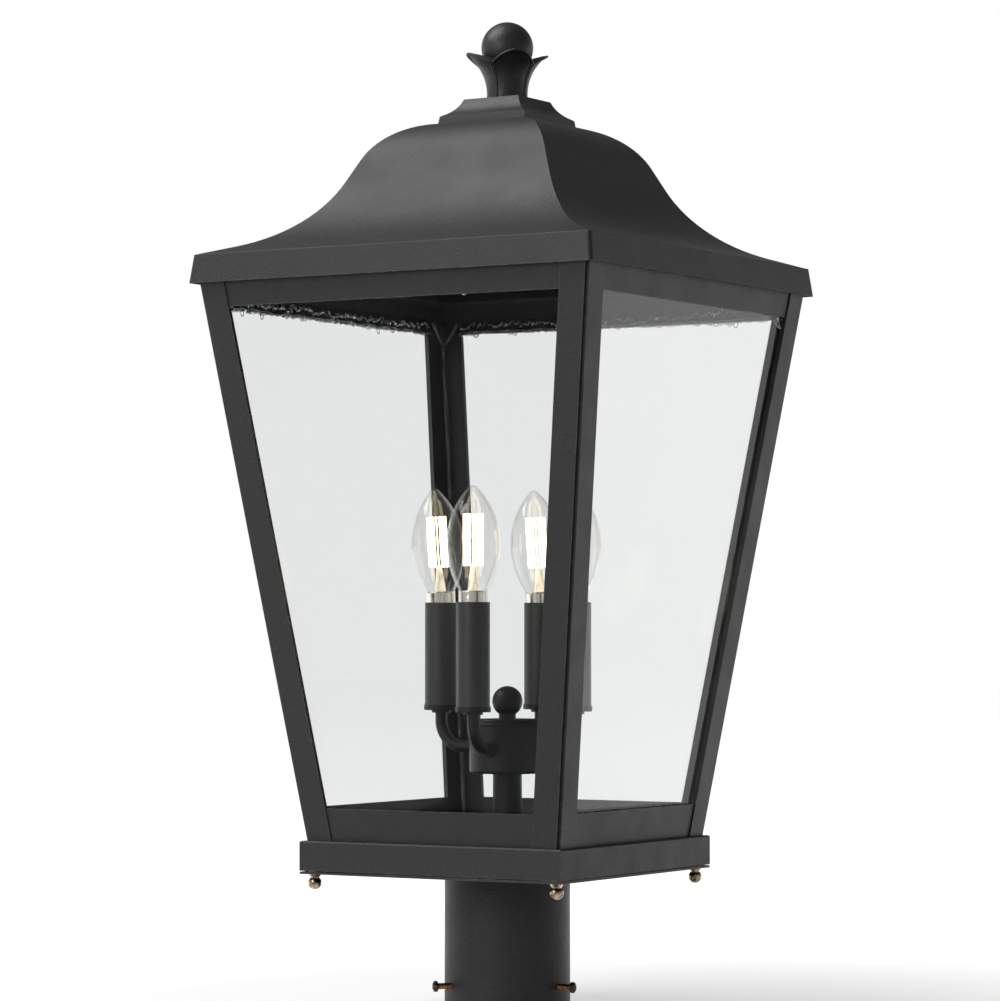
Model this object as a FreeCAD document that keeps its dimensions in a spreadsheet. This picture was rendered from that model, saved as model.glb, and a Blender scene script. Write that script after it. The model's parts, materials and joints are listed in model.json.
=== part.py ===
import FreeCAD, Part
import math
import os

import Sketcher

# Post top lantern: a square tapered cage with a bell-shaped roof, standing on a fitter that
# slips over a round post. Millimetres and degrees. The origin is on the post's axis at the
# mouth of the fitter, +Z up. The front pane faces -Y, the right pane faces +X.

VALUES = {
    # post fitter: a cup for a round post of 76.2 mm
    "fitter_bore": 39.35,
    "fitter_wall": 1.9,
    "fitter_height": 90.0,
    "fitter_chamfer": 0.5,
    "stop_step": 2.4,
    "stop_clear": 1.0,
    # set screws round the fitter, backed out so that their tips are flush in the wall
    "screw_level": 16.2,
    "screw_heading": -3.7,
    "screw_shank": 2.0,
    "screw_length": 11.4,
    "screw_inset": 0.25,
    "screw_head": 3.6,
    "screw_head_height": 2.6,
    "screw_slot_width": 0.9,
    "screw_slot_depth": 1.2,
    "running_gap": 0.06,
    # base plate, with the tray standing just clear of it
    "plate_inset": 0.1,
    "plate_thick": 1.5,
    "tray_gap": 0.6,
    "loose_gap": 0.3,
    "sliver": 0.1,
    # centre rod and its nut
    "rod_radius": 4.8,
    "rod_bore": 3.2,
    "rod_below": 8.5,
    "nut_height": 3.5,
    "rod_nut_corner": 8.1,
    "arm_nut_corner": 6.4,
    # stem and hub
    "stem_radius": 9.6,
    "stem_bore": 8.4,
    "stem_length": 62.6,
    "hub_radius": 25.0,
    "hub_wall": 1.2,
    "hub_height": 31.0,
    "hub_corner": 2.0,
    "lid_radius": 25.4,
    "lid_bead": 2.2,
    "lid_recess": 1.2,
    "lid_bevel": 2.0,
    "lid_bead_bend": 1.54,
    "knob_radius": 10.0,
    "knob_neck": 5.6,
    "knob_centre": 13.0,
    # lamp arms
    "lamp_turn": 4.5,
    "lamp_circle": 49.2,
    "arm_level": 17.0,
    "arm_radius": 3.9,
    "arm_bore": 2.9,
    "arm_bend": 17.0,
    "arm_start": 18.6,
    "arm_top": 25.2,
    "collar_radius": 5.7,
    "collar_height": 1.9,
    "collar_round": 0.8,
    # candle cups, sleeves and sockets
    "cup_neck": 6.3,
    "cup_neck_height": 1.8,
    "cup_radius": 11.5,
    "cup_wall": 0.55,
    "cup_floor": 1.2,
    "cup_height": 3.6,
    "sleeve_radius": 10.85,
    "sleeve_wall": 0.75,
    "sleeve_height": 69.6,
    "socket_radius": 8.0,
    "socket_height": 24.6,
    "socket_floor": 2.4,
    "socket_foot": 5.2,
    "socket_top_drop": 5.0,
    # candle bulbs
    "bulb_tilt": 3.5,
    "tilt_heading": 211.3,
    "cap_radius": 5.95,
    "cap_height": 19.0,
    "contact_radius": 2.8,
    "contact_height": 1.6,
    "skirt_radius": 9.55,
    "skirt_low": 6.9,
    "skirt_flare": 3.0,
    "skirt_height": 12.4,
    "glass_wall": 0.8,
    "glass_mouth": 9.3,
    "glass_widest": 17.5,
    "glass_belly": 30.6,
    "glass_height": 68.4,
    "glass_shoulder_rise": 66.0,
    "glass_shoulder_radius": 4.0,
    "glass_low_bend": 62.0,
    "glass_high_bend": 54.0,
    "mount_radius": 3.7,
    "mount_height": 17.0,
    "mount_tip": 1.9,
    "strip_radius": 1.05,
    "strip_length": 34.0,
    "strip_circle": 5.6,
    "wire_radius": 0.4,
    # tray: an inverted pan
    "tray_half": 98.3,
    "tray_height": 19.3,
    "tray_sheet": 1.2,
    "tray_ledge": 17.3,
    "tray_edge": 0.8,
    # studs under the tray and the ball nuts on them
    "stud_inset": 7.3,
    "stud_collar": 3.9,
    "stud_radius": 2.0,
    "stud_end": 8.6,
    "ball_radius": 4.4,
    "ball_drop": 5.6,
    "ball_neck": 3.1,
    "ball_collar": 3.9,
    "ball_collar_height": 1.3,
    "ball_bore_end": 9.4,
    "seat_gap": 0.2,
    # cage: leaning posts, rails and panes
    "post_inset": 2.9,
    "lean": 0.1396,
    "frame_height": 366.6,
    "post_leg": 20.0,
    "post_wall": 3.0,
    "post_groove": 2.0,
    "rail_set_back": 1.0,
    "rail_wall": 1.9,
    "bottom_rail": 21.5,
    "top_rail": 20.7,
    "pane_wall": 3.0,
    "pane_lap": 12.0,
    "pane_top_lap": 10.0,
    # soffit ring, eave band and roof
    "ring_wall": 1.4,
    "ring_ledge": 21.38,
    "eave_drop": 5.3,
    "eave_height": 18.7,
    "eave_clear": 3.02,
    "eave_flare": 2.3,
    "eave_corner": 2.6,
    "eave_edge": 0.6,
    "sheet": 1.2,
    "roof_lip": 3.0,
    "skirt_angle": 17.5,
    "skirt_end": 128.1,
    "sweep_bend": 85.0,
    "steep_angle": 64.0,
    "steep_run": 16.5,
    "crown_bend": 46.0,
    "crown_angle": 6.6,
    # square cap on the roof
    "cap_half": 33.2,
    "cap_half_mid": 32.5,
    "cap_edge": 4.6,
    "cap_ledge": 0.8,
    "cap_cove_low": 31.4,
    "cap_cove_high": 20.9,
    "cap_cove_bend": 20.0,
    "cap_rise": 16.7,
    # finial: a ball in a calyx of four petals, each pointing along a hip of the roof
    "calyx_neck": 13.5,
    "calyx_straight": 4.0,
    "calyx_bend": 32.4,
    "calyx_rise": 30.6,
    "calyx_floor": 17.6,
    "petal_heading": 45.0,
    "petal_lip": 2.6,
    "petal_half": 16.0,
    "petal_drop": 13.0,
    "seam_depth": 1.0,
    "seam_half": 1.2,
    "bowl_gap": 0.8,
    "bowl_foot": 9.0,
    "bowl_mouth": 15.6,
    "ball_top_radius": 17.2,
    "ball_centre": 17.4,
    "ball_foot": 7.0,
    "bolt_radius": 3.0,
    "bolt_below": 8.5,
    "bolt_into_ball": 10.0,
    "bolt_nut_corner": 5.8,
    "bolt_nut_height": 5.0,
}

doc = FreeCAD.newDocument("post_top_lantern")
sheet = doc.addObject("Spreadsheet::Sheet", "Sizes")
for row, (alias, value) in enumerate(VALUES.items(), start=1):
    sheet.set("A%d" % row, alias)
    sheet.set("B%d" % row, str(value))
    sheet.setAlias("B%d" % row, alias)
doc.recompute()


class Size:
    """A cell of the sheet, or a sum, product or sine of cells: its value and its formula."""

    def __init__(self, value, formula):
        self.value = value
        self.formula = formula

    def __add__(self, other):
        other = as_size(other)
        return Size(self.value + other.value, "(%s + %s)" % (self.formula, other.formula))

    def __sub__(self, other):
        other = as_size(other)
        return Size(self.value - other.value, "(%s - %s)" % (self.formula, other.formula))

    def __mul__(self, other):
        other = as_size(other)
        return Size(self.value * other.value, "(%s * %s)" % (self.formula, other.formula))

    def __truediv__(self, other):
        other = as_size(other)
        return Size(self.value / other.value, "(%s / %s)" % (self.formula, other.formula))

    def __neg__(self):
        return Size(-self.value, "(0 - %s)" % self.formula)


def as_size(value):
    return value if isinstance(value, Size) else Size(float(value), repr(float(value)))


def cell(alias):
    return Size(float(sheet.get(alias)), "Sizes." + alias)


def sine(angle):
    return Size(math.sin(math.radians(angle.value)), "sin(%s * 1 deg)" % angle.formula)


def cosine(angle):
    return Size(math.cos(math.radians(angle.value)), "cos(%s * 1 deg)" % angle.formula)


def tangent(angle):
    return Size(math.tan(math.radians(angle.value)), "tan(%s * 1 deg)" % angle.formula)


ZERO = Size(0.0, "0")
NO_BEND = None
CORNER_NAMES = ("front_left", "front_right", "back_right", "back_left")
SIDE_NAMES = ("front", "right", "back", "left")
QUARTERS = range(len(SIDE_NAMES))
STRIP_HEADINGS = (30, 90, 150, 210, 270, 330)
nodes = []


# ---------------------------------------------------------------- sketches and features

def new_body(label):
    body = doc.addObject("PartDesign::Body", label + "_body")
    body.Label = label
    return body


def new_sketch(body, name, role, offset=ZERO):
    sketch = body.newObject("Sketcher::SketchObject", name)
    plane = [item for item in body.Origin.OriginFeatures if item.Role == role][0]
    sketch.AttachmentSupport = [(plane, "")]
    sketch.MapMode = "FlatFace"
    if offset is not ZERO:
        sketch.setExpression("AttachmentOffset.Base.z", offset.formula)
    return sketch


def arc_between(start, end, bend):
    """Arc from start to end; a positive bend has its centre on the left of the way there."""
    chord = end - start
    half = chord.Length / 2
    height = math.sqrt(max(bend * bend - half * half, 0.0))
    left = FreeCAD.Vector(-chord.y, chord.x, 0).normalize()
    middle = (start + end) / 2
    centre = middle + left * math.copysign(height, bend)
    first, last = (start, end) if bend > 0 else (end, start)
    begin = math.atan2(first.y - centre.y, first.x - centre.x)
    finish = math.atan2(last.y - centre.y, last.x - centre.x)
    if finish < begin:
        finish += 2 * math.pi
    circle = Part.Circle(centre, FreeCAD.Vector(0, 0, 1), abs(bend))
    return Part.ArcOfCircle(circle, begin, finish)


def pin(sketch, limits, bindings, geo, end, x, y):
    """Hold one end of an edge at x, y, measured from the sketch's origin."""
    for axis, kind, size in ((-2, "DistanceX", x), (-1, "DistanceY", y)):
        if size is ZERO:
            limits.append(Sketcher.Constraint("PointOnObject", geo, end, axis))
        else:
            limits.append(Sketcher.Constraint(kind, -1, 1, geo, end, size.value))
            bindings.append((len(limits) - 1, size.formula))


def bind(sketch, limits, bindings):
    first = sketch.ConstraintCount
    sketch.addConstraint(limits)
    for index, formula in bindings:
        sketch.setExpression("Constraints[%d]" % (first + index), formula)


def draw(sketch, corners, closed=True):
    """Outline through corners (x, y, bend of the edge that arrives there)."""
    limits = []
    bindings = []
    ends = []
    places = [FreeCAD.Vector(x.value, y.value, 0) for x, y, _ in corners]
    first = 0 if closed else 1
    for index in range(first, len(corners)):
        start, end, bend = places[index - 1], places[index], corners[index][2]
        if bend is NO_BEND:
            geo = sketch.addGeometry(Part.LineSegment(start, end), False)
            ends.append((geo, 1, 2))
        else:
            geo = sketch.addGeometry(arc_between(start, end, bend.value), False)
            ends.append((geo, 1, 2) if bend.value > 0 else (geo, 2, 1))
            limits.append(Sketcher.Constraint("Radius", geo, abs(bend.value)))
            formula = bend.formula if bend.value > 0 else "(0 - %s)" % bend.formula
            bindings.append((len(limits) - 1, formula))
    if not closed:
        geo, begin, _ = ends[0]
        pin(sketch, limits, bindings, geo, begin, corners[0][0], corners[0][1])
    for index, (geo, _, finish) in enumerate(ends):
        x, y, _ = corners[index + first]
        pin(sketch, limits, bindings, geo, finish, x, y)
        if closed or index + 1 < len(ends):
            following = ends[(index + 1) % len(ends)]
            limits.append(Sketcher.Constraint("Coincident", geo, finish, following[0], following[1]))
    bind(sketch, limits, bindings)


def draw_circle(sketch, x, y, radius):
    limits = []
    bindings = []
    centre = FreeCAD.Vector(x.value, y.value, 0)
    circle = Part.Circle(centre, FreeCAD.Vector(0, 0, 1), radius.value)
    geo = sketch.addGeometry(circle, False)
    pin(sketch, limits, bindings, geo, 3, x, y)
    limits.append(Sketcher.Constraint("Radius", geo, radius.value))
    bindings.append((len(limits) - 1, radius.formula))
    bind(sketch, limits, bindings)


def line_to(x, y):
    return (x, y, NO_BEND)


def dome_bend(radius, rise):
    """Radius of the arc that closes a dome smoothly on the axis."""
    return (radius * radius + rise * rise) / (rise * 2)


def rectangle(left, right, low, high):
    return [line_to(left, low), line_to(right, low), line_to(right, high), line_to(left, high)]


def square(half):
    return rectangle(-half, half, -half, half)


def mirrored(side):
    """Close the right-hand side of an outline, given from the foot up, with its mirror image."""
    left = []
    bend = NO_BEND
    for x, y, arriving in reversed(side):
        left.append((-x, y, bend))
        bend = arriving
    return side + left


def revolved(label, corners):
    """Body turned about the vertical axis from its half section."""
    body = new_body(label)
    sketch = new_sketch(body, label + "_section", "XZ_Plane")
    draw(sketch, corners)
    turn = body.newObject("PartDesign::Revolution", label + "_turn")
    turn.Profile = sketch
    turn.ReferenceAxis = (sketch, ["V_Axis"])
    turn.Angle = 360
    return body


def padded(body, sketch, name, height, both_ways=False):
    pad = body.newObject("PartDesign::Pad", name)
    pad.Profile = sketch
    pad.setExpression("Length", height.formula)
    if both_ways:
        pad.SideType = "Symmetric"
    return pad


def root_of_difference(longer, shorter):
    """Other short side of a right-angled triangle."""
    return Size(math.sqrt(longer.value ** 2 - shorter.value ** 2),
                "sqrt(%s ^ 2 - %s ^ 2)" % (longer.formula, shorter.formula))


def pocket_through(body, sketch, name, side="both"):
    """Cut the sketch's outline through the body: to both sides of the sketch, in front or behind."""
    doc.recompute()
    before = body.Shape.Volume
    pocket = body.newObject("PartDesign::Pocket", name)
    pocket.Profile = sketch
    pocket.Type = "ThroughAll"
    if side == "both":
        pocket.SideType = "Symmetric"
    pocket.Reversed = side == "front"
    doc.recompute()
    if body.Shape.Volume > before - 0.01:
        raise RuntimeError(name + " cuts nothing")
    return pocket


def polar(body, feature, name, count):
    """Repeat a feature evenly round the body's vertical axis."""
    pattern = body.newObject("PartDesign::PolarPattern", name)
    pattern.Originals = [feature]
    axis = [item for item in body.Origin.OriginFeatures if item.Role == "Z_Axis"][0]
    pattern.Axis = (axis, [""])
    pattern.Angle = 360
    pattern.Occurrences = count
    body.Tip = pattern
    return pattern


def lofted(body, name, low, high, height, subtract=False):
    """Ruled solid between two outlines with as many corners, the upper one at a height."""
    low_sketch = new_sketch(body, name + "_low", "XY_Plane")
    draw(low_sketch, low)
    high_sketch = new_sketch(body, name + "_high", "XY_Plane", height)
    draw(high_sketch, high)
    kind = "PartDesign::SubtractiveLoft" if subtract else "PartDesign::AdditiveLoft"
    loft = body.newObject(kind, name)
    loft.Profile = low_sketch
    loft.Sections = [high_sketch]
    loft.Ruled = True
    return loft


def rounded(body, name, radius, chosen):
    """Round the edges of the body whose pair of ends is chosen."""
    doc.recompute()
    base = body.Tip
    edges = ["Edge%d" % index for index, edge in enumerate(base.Shape.Edges, start=1)
             if len(edge.Vertexes) == 2 and chosen(edge.Vertexes)]
    if not edges:
        raise RuntimeError(name + " finds no edge")
    fillet = body.newObject("PartDesign::Fillet", name)
    fillet.Base = (base, edges)
    fillet.setExpression("Radius", radius.formula)


def place(piece, x=ZERO, y=ZERO, z=ZERO, rotation=None):
    piece.Placement = FreeCAD.Placement(
        FreeCAD.Vector(x.value, y.value, z.value),
        rotation or FreeCAD.Rotation())
    for axis, size in (("x", x), ("y", y), ("z", z)):
        if size is not ZERO:
            piece.setExpression(".Placement.Base." + axis, size.formula)


def turned_by(angle):
    return FreeCAD.Rotation(FreeCAD.Vector(0, 0, 1), angle)


def primitive(kind, name, **sizes):
    piece = doc.addObject(kind, name)
    for attribute, size in sizes.items():
        piece.setExpression(attribute, size.formula)
    return piece


def cut(label, base, tool):
    result = doc.addObject("Part::Cut", label)
    result.Label = label
    result.Base = base
    result.Tool = tool
    return result


def keep(label, piece):
    """Name a finished piece; its label is its file's name."""
    piece.Label = label
    nodes.append(piece)
    return piece


def keep_group(label, pieces):
    group = doc.addObject("Part::Compound", label)
    group.Links = pieces
    return keep(label, group)


def hex_nut(name, corner, bore, height):
    prism = primitive("Part::Prism", name + "_hex", Circumradius=corner, Height=height)
    prism.Polygon = 6
    hole = primitive("Part::Cylinder", name + "_hole", Radius=bore, Height=height)
    return cut(name, prism, hole)


# ---------------------------------------------------------------- levels and shared sizes

fitter_top = cell("fitter_height")
fitter_outer = cell("fitter_bore") + cell("fitter_wall")
plate_top = fitter_top + cell("plate_thick")
tray_foot = plate_top + cell("tray_gap")
tray_top = tray_foot + cell("tray_height")
frame_top = tray_top + cell("frame_height")
eave_foot = frame_top - cell("eave_drop")
eave_top = eave_foot + cell("eave_height")
hub_foot = plate_top + cell("stem_length")
hub_top = hub_foot + cell("hub_height")
lid_top = hub_top + cell("lid_bead") * 2 - cell("lid_recess")
arm_axis = hub_foot + cell("arm_level")
cup_floor_top = cell("cup_neck_height") + cell("cup_floor")
cup_foot = arm_axis + cell("arm_top") - cup_floor_top
sleeve_foot = cup_foot + cup_floor_top
sleeve_top = sleeve_foot + cell("sleeve_height")
rod_hole = cell("rod_radius") + cell("sliver")
skirt_foot = sleeve_top - cell("socket_top_drop") + cell("loose_gap")
stud_place = cell("tray_half") - cell("stud_inset")


def frame_half(level):
    """Half the width of the leaning frame at a height above its foot."""
    return cell("tray_half") - cell("post_inset") + cell("lean") * level


frame_half_top = frame_half(cell("frame_height"))
eave_half_low = frame_half_top + cell("eave_clear") + cell("sheet")
eave_half_high = eave_half_low - cell("eave_flare")


# ---------------------------------------------------------------- base and fitter

def make_post_fitter():
    """Cup, open downwards, with a stop for the post's end and three tapped holes at its mouth."""
    bore, wall, top = cell("fitter_bore"), cell("fitter_wall"), cell("fitter_height")
    bevel = cell("fitter_chamfer")
    stop = top - wall - cell("rod_below") - cell("stop_clear")
    body = revolved("post_fitter", [
        line_to(bore, bevel), line_to(bore + bevel, ZERO), line_to(fitter_outer - bevel, ZERO),
        line_to(fitter_outer, bevel), line_to(fitter_outer, top - wall),
        (fitter_outer - wall, top, wall), line_to(rod_hole, top), line_to(rod_hole, top - wall),
        line_to(bore - cell("stop_step"), top - wall), line_to(bore - cell("stop_step"), stop),
        line_to(bore, stop)])
    sketch = new_sketch(body, "screw_hole", "YZ_Plane")
    draw_circle(sketch, ZERO, cell("screw_level"), cell("screw_shank") + cell("running_gap"))
    hole = pocket_through(body, sketch, "screw_hole_cut", side="front")
    polar(body, hole, "screw_holes", 3)
    place(body, rotation=turned_by(cell("screw_heading").value))
    keep("post_fitter", body)


def make_set_screws():
    """Slotted pan-head screws; each lies along +X with its tip at the origin."""
    shank, length, head = cell("screw_shank"), cell("screw_length"), cell("screw_head")
    rise = cell("screw_head_height")
    slot = cell("screw_slot_width") / 2
    for index in range(3):
        name = "set_screw_%d" % (index + 1)
        body = revolved(name, [
            line_to(ZERO, ZERO), line_to(shank - cell("fitter_chamfer"), ZERO),
            line_to(shank, cell("fitter_chamfer")), line_to(shank, length), line_to(head, length),
            line_to(head, length + rise / 2),
            (ZERO, length + rise, dome_bend(head, rise / 2))])
        sketch = new_sketch(body, name + "_slot", "XZ_Plane")
        floor = length + rise - cell("screw_slot_depth")
        draw(sketch, rectangle(-slot, slot, floor, length + rise * 2))
        pocket_through(body, sketch, name + "_slot_cut")
        angle = cell("screw_heading").value + 120 * index
        reach = cell("fitter_bore") + cell("screw_inset")
        heading = Size(angle, "(%s + %d)" % (cell("screw_heading").formula, 120 * index))
        lay_down = FreeCAD.Rotation(FreeCAD.Vector(0, 1, 0), 90)
        place(body, reach * cosine(heading), reach * sine(heading), cell("screw_level"),
              turned_by(angle).multiply(lay_down))
        keep(name, body)


def make_base_plate():
    """Thin square plate with a rod hole and a stud hole near each corner."""
    body = new_body("base_plate")
    sketch = new_sketch(body, "plate_outline", "XY_Plane")
    draw(sketch, square(cell("tray_half") - cell("plate_inset")))
    padded(body, sketch, "plate", cell("plate_thick"))
    middle = new_sketch(body, "rod_hole", "XY_Plane")
    draw_circle(middle, ZERO, ZERO, rod_hole)
    pocket_through(body, middle, "rod_hole_cut")
    corner = new_sketch(body, "stud_hole", "XY_Plane")
    draw_circle(corner, stud_place, stud_place, cell("stud_radius") + cell("loose_gap"))
    hole = pocket_through(body, corner, "stud_hole_cut")
    polar(body, hole, "stud_holes", 4)
    place(body, z=fitter_top)
    keep("base_plate", body)


def make_rod():
    """Hollow threaded rod that clamps fitter, plate, stem, hub, lid and knob together."""
    web_foot = fitter_top - cell("fitter_wall")
    foot = web_foot - cell("rod_below")
    length = lid_top + cell("knob_centre") - foot
    body = revolved("center_rod", rectangle(cell("rod_bore"), cell("rod_radius"), ZERO, length))
    place(body, z=foot)
    keep("center_rod", body)
    nut = hex_nut("rod_nut", cell("rod_nut_corner"), rod_hole, cell("nut_height"))
    place(nut, z=web_foot - cell("nut_height"))
    keep("rod_nut", nut)


# ---------------------------------------------------------------- lamp cluster

def make_hub():
    """Stem tube, deep hub cup with four arm holes, beaded lid and ball knob."""
    stem = revolved("stem_tube", rectangle(
        cell("stem_bore"), cell("stem_radius"), ZERO, cell("stem_length")))
    place(stem, z=plate_top)
    keep("stem_tube", stem)

    radius, wall, height = cell("hub_radius"), cell("hub_wall"), cell("hub_height")
    corner = cell("hub_corner")
    hub = revolved("hub_cup", [
        line_to(rod_hole, ZERO), line_to(radius - corner, ZERO), (radius, corner, corner),
        line_to(radius, height), line_to(radius - wall, height), line_to(radius - wall, corner),
        (radius - corner, wall, -(corner - wall)), line_to(rod_hole, wall)])
    sketch = new_sketch(hub, "arm_hole", "YZ_Plane")
    draw_circle(sketch, ZERO, cell("arm_level"), cell("arm_radius") + cell("sliver"))
    hole = pocket_through(hub, sketch, "arm_hole_cut", side="front")
    polar(hub, hole, "arm_holes", 4)
    place(hub, z=hub_foot, rotation=turned_by(cell("lamp_turn").value))
    keep("hub_cup", hub)

    bead, rim = cell("lid_bead"), cell("lid_radius")
    inner = radius - wall - cell("sliver")
    recess = bead * 2 - cell("lid_recess")
    lid = revolved("hub_lid", [
        line_to(rod_hole, -wall), line_to(inner, -wall), line_to(inner, ZERO),
        line_to(rim - bead / 4, ZERO), (rim - bead / 4, bead, cell("lid_bead_bend")),
        (rim - bead / 2, bead * 2, cell("lid_bead_bend")), line_to(rim - bead, bead * 2),
        line_to(rim - bead - cell("lid_bevel"), recess), line_to(rod_hole, recess)])
    place(lid, z=hub_top)
    keep("hub_lid", lid)

    ball, neck, centre = cell("knob_radius"), cell("knob_neck"), cell("knob_centre")
    throat = root_of_difference(ball, neck)
    roof = centre + cell("sliver")
    knob = revolved("hub_knob", [
        line_to(rod_hole, ZERO), line_to(neck, ZERO), line_to(neck, centre - throat),
        (ball, centre, ball), (ZERO, centre + ball, ball), line_to(ZERO, roof),
        line_to(rod_hole, roof)])
    place(knob, z=lid_top)
    keep("hub_knob", knob)


def lamp_place(piece, index, radius, level, rotation=None):
    """Set a piece on the lamp circle, or on a smaller circle in line with it."""
    angle = cell("lamp_turn").value - 90 + 90 * index
    heading = Size(angle, "(%s + %d)" % (cell("lamp_turn").formula, 90 * index - 90))
    turn = turned_by(angle)
    if rotation is not None:
        turn = turn.multiply(rotation)
    place(piece, radius * cosine(heading), radius * sine(heading), level, turn)


def make_arms():
    """Four bent tubes out of the hub, each with a rounded collar outside and a nut inside."""
    start, bend, reach = cell("arm_start"), cell("arm_bend"), cell("lamp_circle")
    collars = []
    nuts = []
    upright = FreeCAD.Rotation(FreeCAD.Vector(0, 1, 0), 90)
    for index in QUARTERS:
        name = "lamp_arm_" + SIDE_NAMES[index]
        body = new_body(name)
        path = new_sketch(body, name + "_path", "XZ_Plane")
        draw(path, [line_to(start, ZERO), line_to(reach - bend, ZERO), (reach, bend, bend),
                    line_to(reach, cell("arm_top"))], closed=False)
        ring = new_sketch(body, name + "_ring", "YZ_Plane", start)
        draw_circle(ring, ZERO, ZERO, cell("arm_radius"))
        draw_circle(ring, ZERO, ZERO, cell("arm_bore"))
        pipe = body.newObject("PartDesign::AdditivePipe", name + "_pipe")
        pipe.Profile = ring
        pipe.Spine = (path, [""])
        lamp_place(body, index, ZERO, arm_axis)
        keep(name, body)

        hole = cell("arm_radius") + cell("sliver")
        outer, height, edge = cell("collar_radius"), cell("collar_height"), cell("collar_round")
        collar = revolved("arm_collar_%d" % index, [
            line_to(hole, ZERO), line_to(outer, ZERO), line_to(outer, height - edge),
            (outer - edge, height, edge), line_to(hole, height)])
        lamp_place(collar, index, cell("hub_radius") + cell("sliver"), arm_axis, upright)
        collars.append(collar)
        nut = hex_nut("arm_nut_%d" % index, cell("arm_nut_corner"), hole, cell("nut_height"))
        inside = cell("hub_radius") - cell("hub_wall") - cell("nut_height") - cell("collar_round")
        lamp_place(nut, index, inside, arm_axis, upright)
        nuts.append(nut)
    keep_group("arm_collars", collars)
    keep_group("arm_nuts", nuts)


def make_candles():
    """Cups, paper-thin sleeves and the sockets on stand-offs inside them."""
    neck, radius, wall = cell("cup_neck"), cell("cup_radius"), cell("cup_wall")
    hole = cell("arm_radius") + cell("sliver")
    cups = []
    sockets = []
    for index in QUARTERS:
        cup = revolved("candle_cup_%d" % index, [
            line_to(hole, ZERO), line_to(neck, ZERO), line_to(neck, cell("cup_neck_height")),
            line_to(radius - wall, cell("cup_neck_height")),
            (radius, cell("cup_neck_height") + wall, wall),
            line_to(radius, cell("cup_neck_height") + cell("cup_height")),
            line_to(cell("sleeve_radius") + cell("sliver"),
                    cell("cup_neck_height") + cell("cup_height")),
            line_to(cell("sleeve_radius") + cell("sliver"), cup_floor_top),
            line_to(hole, cup_floor_top)])
        lamp_place(cup, index, cell("lamp_circle"), cup_foot)
        cups.append(cup)

        outer = cell("sleeve_radius")
        sleeve = revolved("candle_sleeve_" + SIDE_NAMES[index], rectangle(
            outer - cell("sleeve_wall"), outer, ZERO, cell("sleeve_height")))
        lamp_place(sleeve, index, cell("lamp_circle"), sleeve_foot)
        keep("candle_sleeve_" + SIDE_NAMES[index], sleeve)

        mouth = cell("sleeve_height") - cell("socket_top_drop")
        shell = mouth - cell("socket_height")
        bore = cell("cap_radius") + cell("loose_gap")
        foot, body_radius = cell("socket_foot"), cell("socket_radius")
        socket = revolved("lamp_socket_%d" % index, [
            line_to(ZERO, ZERO), line_to(foot, ZERO), line_to(foot, shell - foot),
            line_to(body_radius, shell), line_to(body_radius, mouth), line_to(bore, mouth),
            line_to(bore, shell + cell("socket_floor")), line_to(ZERO, shell + cell("socket_floor"))])
        place_tilted(socket, index, cell("sleeve_height"))
        sockets.append(socket)
    keep_group("candle_cups", cups)
    keep_group("lamp_sockets", sockets)


def tilt_of(index):
    """Lamps at the left and the back lean a little to one side; the other two stand straight."""
    return cell("bulb_tilt").value if SIDE_NAMES[index] in ("left", "back") else 0.0


def place_tilted(piece, index, below):
    """Set an upright piece below the centre of its sleeve's mouth, leaning about that centre."""
    angle = math.radians(cell("lamp_turn").value - 90 + 90 * index)
    reach = cell("lamp_circle").value
    pivot = FreeCAD.Vector(reach * math.cos(angle), reach * math.sin(angle), sleeve_top.value)
    hinge = math.radians(cell("tilt_heading").value + 90)
    lean = FreeCAD.Rotation(FreeCAD.Vector(math.cos(hinge), math.sin(hinge), 0), tilt_of(index))
    piece.Placement = FreeCAD.Placement(
        pivot + lean.multVec(FreeCAD.Vector(0, 0, -below.value)), lean)


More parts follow.
